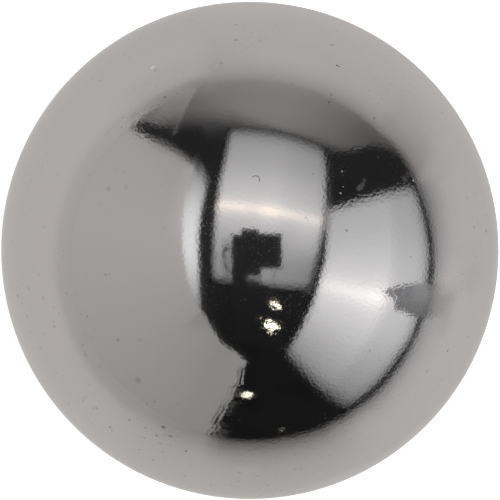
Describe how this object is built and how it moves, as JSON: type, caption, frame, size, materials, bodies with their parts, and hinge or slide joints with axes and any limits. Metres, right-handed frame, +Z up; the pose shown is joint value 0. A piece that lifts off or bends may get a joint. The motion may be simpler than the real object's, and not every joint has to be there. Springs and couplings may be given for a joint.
{
  "type": "steel ball",
  "caption": "Solid steel ball with a mirror-polished surface, free to roll in a cup, race or track.",
  "frame": {"origin": "centre of the ball", "axes": "+Z up through the ball's highest point; the ball is alike about every axis, so X and Y are free to choose and lie level"},
  "size_m": [0.0126, 0.0126, 0.0126],
  "materials": {
    "polished_steel": "polished"
  },
  "bodies": {
    "root": {"ball": "polished_steel"}
  },
  "joints": []
}
